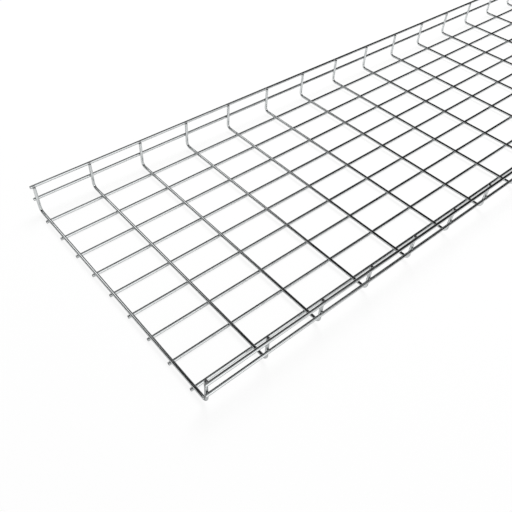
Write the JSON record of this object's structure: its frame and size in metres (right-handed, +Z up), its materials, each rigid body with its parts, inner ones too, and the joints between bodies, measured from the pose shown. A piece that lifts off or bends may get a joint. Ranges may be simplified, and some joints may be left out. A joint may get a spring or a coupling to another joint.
{
  "type": "wire mesh cable basket",
  "caption": "Straight length of open U-shaped cable tray made of bent cross wires welded to straight long wires, with an open mesh floor and low mesh walls.",
  "frame": {"origin": "on the surface that the tray rests on, in the middle of its length and width", "axes": "+X along the tray, +Y across it to the left wall when looking along +X, +Z up, out of the open side"},
  "size_m": [3.01, 0.469, 0.0573],
  "materials": {
    "zinc_wire": "bright electro-zinc coating on drawn steel wire, slightly uneven, darker at the welds and at the sheared ends"
  },
  "bodies": {
    "root": {"cross_wire_01": "zinc_wire", "cross_wire_02": "zinc_wire", "cross_wire_03": "zinc_wire", "cross_wire_04": "zinc_wire", "cross_wire_05": "zinc_wire", "cross_wire_06": "zinc_wire", "cross_wire_07": "zinc_wire", "cross_wire_08": "zinc_wire", "cross_wire_09": "zinc_wire", "cross_wire_10": "zinc_wire", "cross_wire_11": "zinc_wire", "cross_wire_12": "zinc_wire", "cross_wire_13": "zinc_wire", "cross_wire_14": "zinc_wire", "cross_wire_15": "zinc_wire", "cross_wire_16": "zinc_wire", "cross_wire_17": "zinc_wire", "cross_wire_18": "zinc_wire", "cross_wire_19": "zinc_wire", "cross_wire_20": "zinc_wire", "cross_wire_21": "zinc_wire", "cross_wire_22": "zinc_wire", "cross_wire_23": "zinc_wire", "cross_wire_24": "zinc_wire", "cross_wire_25": "zinc_wire", "cross_wire_26": "zinc_wire", "cross_wire_27": "zinc_wire", "cross_wire_28": "zinc_wire", "cross_wire_29": "zinc_wire", "cross_wire_30": "zinc_wire", "cross_wire_31": "zinc_wire", "base_wire_01": "zinc_wire", "base_wire_02": "zinc_wire", "base_wire_03": "zinc_wire", "base_wire_04": "zinc_wire", "base_wire_05": "zinc_wire", "base_wire_06": "zinc_wire", "base_wire_07": "zinc_wire", "base_wire_08": "zinc_wire", "base_wire_09": "zinc_wire", "side_wire_left": "zinc_wire", "side_wire_right": "zinc_wire", "rim_wire_left": "zinc_wire", "rim_wire_right": "zinc_wire"}
  },
  "joints": []
}
